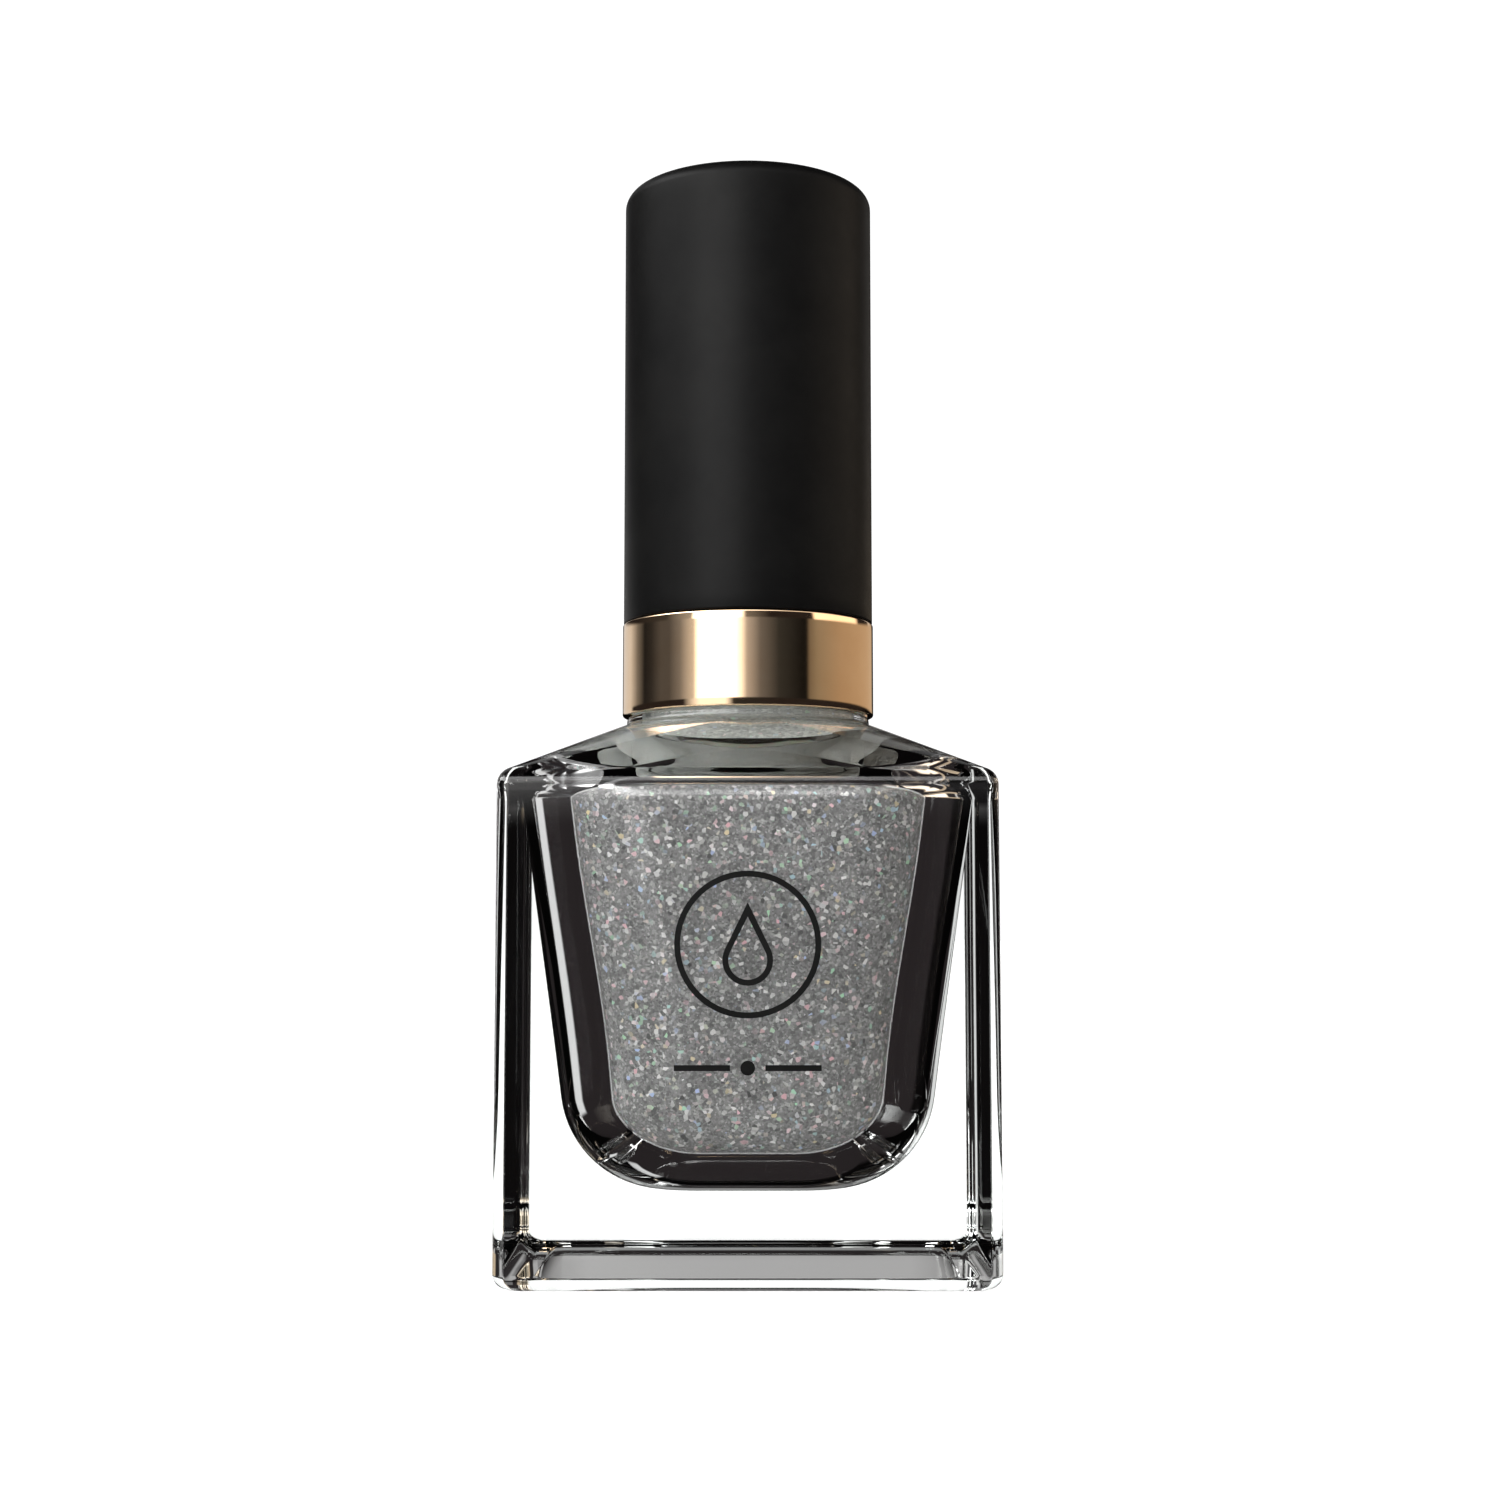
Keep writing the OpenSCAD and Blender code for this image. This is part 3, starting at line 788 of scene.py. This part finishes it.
HIGH_LIGHT = [                           # above eye level: a softbox on the left, a warm panel on the right
    (-180, DARK), (-167, DARK), (-163, (0.6, 0.6, 0.6)), (-157, (0.6, 0.6, 0.6)), (-153, DARK),
    (-120, DARK), (-80, (0.05, 0.05, 0.05)), (-53, (0.4, 0.4, 0.4)), (-45, SOFTBOX), (-14, SOFTBOX),
    (-2, (0.2, 0.2, 0.2)), (20, DARK), (61, DARK), (64, (1.9, 1.6, 1.3)), (116, (1.7, 1.4, 1.1)),
    (122, DARK), (143, DARK), (147, (0.7, 0.66, 0.62)), (151, (0.7, 0.66, 0.62)), (155, DARK), (180, DARK),
]
UPPER_LIGHT = [                          # higher up: a wide light from the left round to the front
    (-180, (0.3, 0.3, 0.3)), (-122, (0.3, 0.3, 0.3)), (-106, (3, 3, 3)), (-88, (8, 8, 8)), (-55, (8, 8, 8)),
    (-10, (4.2, 4.2, 4.2)), (40, (1.3, 1.25, 1.2)), (90, (1, 0.9, 0.8)), (115, DARK), (150, DARK),
    (180, (0.3, 0.3, 0.3)),
]

# Heights in degrees over which the bands start, give way to each other, and end
LOW_START = (-30, -25)
LOW_TO_ROUND = (2.6, 4.2)
ROUND_TO_HIGH = (9, 11.5)
HIGH_TO_UPPER = (20, 27)
UPPER_END = (42, 52)
BANDS = (
    (LOW_LIGHT, LOW_START, LOW_TO_ROUND),
    (ROUND_LIGHT, LOW_TO_ROUND, ROUND_TO_HIGH),
    (HIGH_LIGHT, ROUND_TO_HIGH, HIGH_TO_UPPER),
    (UPPER_LIGHT, HIGH_TO_UPPER, UPPER_END),
)
BRIGHTEST = 8.0                          # light that a ramp value of 1 stands for
PAGE = 1.12                              # brightness of the white page behind the object
NO_BOUNCE = 0.5                          # a ray with more bounces than this has been reflected


def build_world():
    """Studio light by direction, dark above and below its bands, and a plain white page where nothing
    has reflected the view of it."""
    world = bpy.data.worlds.new("studio")
    bpy.context.scene.world = world
    world.use_nodes = True
    tree = world.node_tree
    tree.nodes.clear()

    def add(kind, **settings):
        node = tree.nodes.new(kind)
        for name, value in settings.items():
            setattr(node, name, value)
        return node

    def put(socket, source):
        if isinstance(source, (int, float, tuple)):
            socket.default_value = source
        else:
            tree.links.new(source, socket)

    def compute(operation, a, b=0.0):
        node = add("ShaderNodeMath", operation=operation)
        put(node.inputs[0], a)
        put(node.inputs[1], b)
        return node.outputs[0]

    def step(source, low, high, start=0.0, end=1.0):
        node = add("ShaderNodeMapRange", interpolation_type="SMOOTHSTEP")
        put(node.inputs["Value"], source)
        for name, value in (("From Min", low), ("From Max", high), ("To Min", start), ("To Max", end)):
            node.inputs[name].default_value = value
        return node.outputs["Result"]

    def vector(operation, a, b=None, scale=None):
        node = add("ShaderNodeVectorMath", operation=operation)
        put(node.inputs[0], a)
        if b is not None:
            put(node.inputs[1], b)
        if scale is not None:
            put(node.inputs["Scale"], scale)
        return node.outputs[0]

    split = add("ShaderNodeSeparateXYZ")
    tree.links.new(add("ShaderNodeTexCoord").outputs["Generated"], split.inputs[0])
    x, y, z = split.outputs
    turn = compute("ARCTAN2", x, compute("MULTIPLY", y, -1.0))
    rise = compute("MULTIPLY", compute("ARCSINE", z), 180 / math.pi)
    share = compute("ADD", compute("MULTIPLY", turn, 0.5 / math.pi), 0.5)

    def band(table):
        """Light of one band, by the direction's share of the full turn."""
        node = add("ShaderNodeValToRGB")
        fill_ramp(node.color_ramp, [((degrees + 180) / 360, [c / BRIGHTEST for c in color])
                                    for degrees, color in table])
        put(node.inputs["Fac"], share)
        return node.outputs["Color"]

    def between(start, end):
        """Full light from one range of heights to another, with soft ends over the ranges."""
        return compute("MULTIPLY", step(rise, *start, 0.0, BRIGHTEST), step(rise, *end, 1.0, 0.0))

    outside = compute("ADD", step(rise, *UPPER_END), step(rise, *LOW_START, 1.0, 0.0))
    light = vector("SCALE", DARK, scale=outside)
    for table, start, end in BANDS:
        light = vector("ADD", light, vector("SCALE", band(table), scale=between(start, end)))
    studio = add("ShaderNodeBackground")
    tree.links.new(light, studio.inputs["Color"])

    page = add("ShaderNodeBackground")
    page.inputs["Color"].default_value = (PAGE, PAGE, PAGE, 1)
    path = add("ShaderNodeLightPath")
    bounces = compute("ADD", path.outputs["Glossy Depth"], path.outputs["Diffuse Depth"])
    mix = add("ShaderNodeMixShader")
    put(mix.inputs["Fac"], compute("GREATER_THAN", bounces, NO_BOUNCE))
    tree.links.new(page.outputs[0], mix.inputs[1])
    tree.links.new(studio.outputs[0], mix.inputs[2])
    tree.links.new(mix.outputs[0], add("ShaderNodeOutputWorld").inputs["Surface"])


def build_floor():
    """Pale, softly lit floor, which reflections look past to the dark table level of the studio."""
    reach = 3.0                          # metres from the object to its edges
    level = -0.02 * MM                   # just under the foot, so that the two don't coincide
    corners = [(-reach, -reach), (reach, -reach), (reach, reach), (-reach, reach)]
    floor = smooth_mesh("floor", [(x, y, level) for x, y in corners], [(0, 1, 2, 3)])
    s = Shader("floor", (0.5, 0.5, 0.5), 0.8, Emission_Strength=0.82)
    s.color(s.ramp(s.noise(40, 3), [(0.3, (0.48, 0.48, 0.48)), (0.7, (0.52, 0.52, 0.52))]))
    s.main.inputs["Emission Color"].default_value = (1, 1, 1, 1)
    reflected = s.add("ShaderNodeMath", operation="GREATER_THAN")
    s.link(s.add("ShaderNodeLightPath").outputs["Glossy Depth"], reflected.inputs[0])
    reflected.inputs[1].default_value = NO_BOUNCE
    both = s.add("ShaderNodeMixShader")
    s.link(reflected.outputs[0], both.inputs["Fac"])
    s.link(s.main.outputs[0], both.inputs[1])
    s.link(s.add("ShaderNodeBsdfTransparent").outputs[0], both.inputs[2])
    s.link(both.outputs[0], s.tree.nodes["Material Output"].inputs["Surface"])
    floor.data.materials.append(s.material)


def build_camera():
    """Level with the bottle's lower third and tipped up a little, close enough to show perspective."""
    data = bpy.data.cameras.new("camera")
    camera = bpy.data.objects.new("camera", data)
    bpy.context.scene.collection.objects.link(camera)
    bpy.context.scene.camera = camera
    tip = 4.7                            # degrees up from level
    data.sensor_width = 36
    data.lens = 51.6
    data.clip_start = 0.005
    camera.location = (0.13 * MM, -137.7 * MM, 20.6 * MM)
    camera.rotation_euler = (math.radians(90 + tip), 0, 0)


# ---------------------------------------------------------------- assembly

def place(piece, material, body, node):
    """Finishes a piece that stands for a CAD node."""
    even_normals(piece)
    piece.data.materials.append(material)
    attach(piece, body)
    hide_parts(node)


random.seed(11)
bpy.context.scene.view_settings.view_transform = "Standard"
build_camera()
build_world()
build_floor()

steel = steel_material()
place(build_glass(), glass_material(), "bottle", "glass_bottle")
place(build_lacquer(), lacquer_material(), "bottle", "lacquer_fill")
for side in ("left", "right"):
    node = "mixing_ball_" + side
    place(build_ball("ball_" + side, node), steel, "bottle", node)
place(build_seal(), foam_material(), "seal", "seal_liner")
place(build_ring(), gold_material(), "collar", "collar_ring")
place(build_overcap(), cap_material(), "cap", "overcap")
place(build_inner_cap(), ivory_material(), "cap", "inner_cap")
place(build_stem(), stem_material(), "cap", "brush_stem")
place(build_bristles(), bristle_material(), "cap", "bristle_tuft")
for node, material in (("front_emblem", ink_material()), ("tuft_anchor", steel)):
    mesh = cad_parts[node].data
    mesh.materials.clear()
    mesh.materials.append(material)
